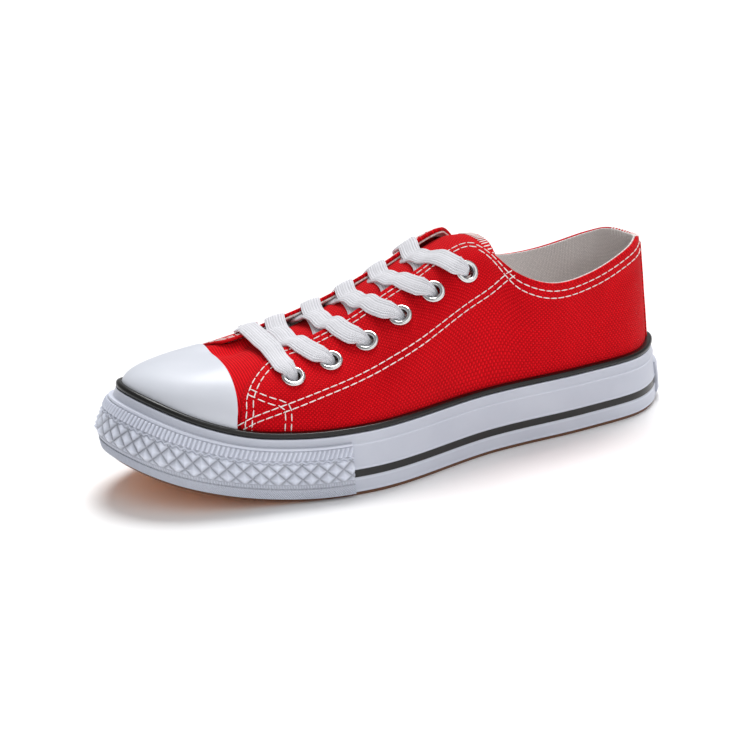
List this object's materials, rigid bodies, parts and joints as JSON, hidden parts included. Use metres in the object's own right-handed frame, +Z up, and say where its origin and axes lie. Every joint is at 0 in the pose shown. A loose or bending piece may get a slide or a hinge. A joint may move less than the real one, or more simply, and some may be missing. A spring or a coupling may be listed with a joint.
{
  "type": "canvas sneaker",
  "caption": "Low-top red canvas sneaker with a white rubber toe cap and sole wall, black edge bead, metal eyelets and flat white laces; left foot, open collar.",
  "frame": {"origin": "centre of the bounding box in plan, on the ground plane", "axes": "+X from heel to toe, +Y to the outer side of the foot, +Z up"},
  "size_m": [0.2728, 0.1, 0.0927],
  "materials": {
    "gum": "matt brown gum rubber",
    "core": "plain pressed filler, hidden",
    "white_rubber": "smooth satin white vulcanised rubber",
    "black_rubber": "satin black rubber cord",
    "lining": "light cotton lining cloth",
    "canvas": "red plain-weave cotton canvas",
    "nickel": "bright nickel-plated eyelet",
    "lace": "flat woven white lace"
  },
  "bodies": {
    "root": {"outsole": "gum", "midsole": "core", "foxing": "white_rubber", "edge_bead": "black_rubber", "toe_bumper": "white_rubber", "heel_label": "white_rubber", "insole": "lining", "upper": "canvas", "toe_cap": "white_rubber", "tongue": "canvas", "eyelet_outer_1": "nickel", "eyelet_outer_2": "nickel", "eyelet_outer_3": "nickel", "eyelet_outer_4": "nickel", "eyelet_outer_5": "nickel", "eyelet_outer_6": "nickel", "eyelet_inner_1": "nickel", "eyelet_inner_2": "nickel", "eyelet_inner_3": "nickel", "eyelet_inner_4": "nickel", "eyelet_inner_5": "nickel", "eyelet_inner_6": "nickel", "lace_bar": "lace", "lace_crossing_2": "lace", "lace_crossing_3": "lace", "lace_crossing_4": "lace", "lace_crossing_5": "lace", "lace_crossing_6": "lace"}
  },
  "joints": []
}
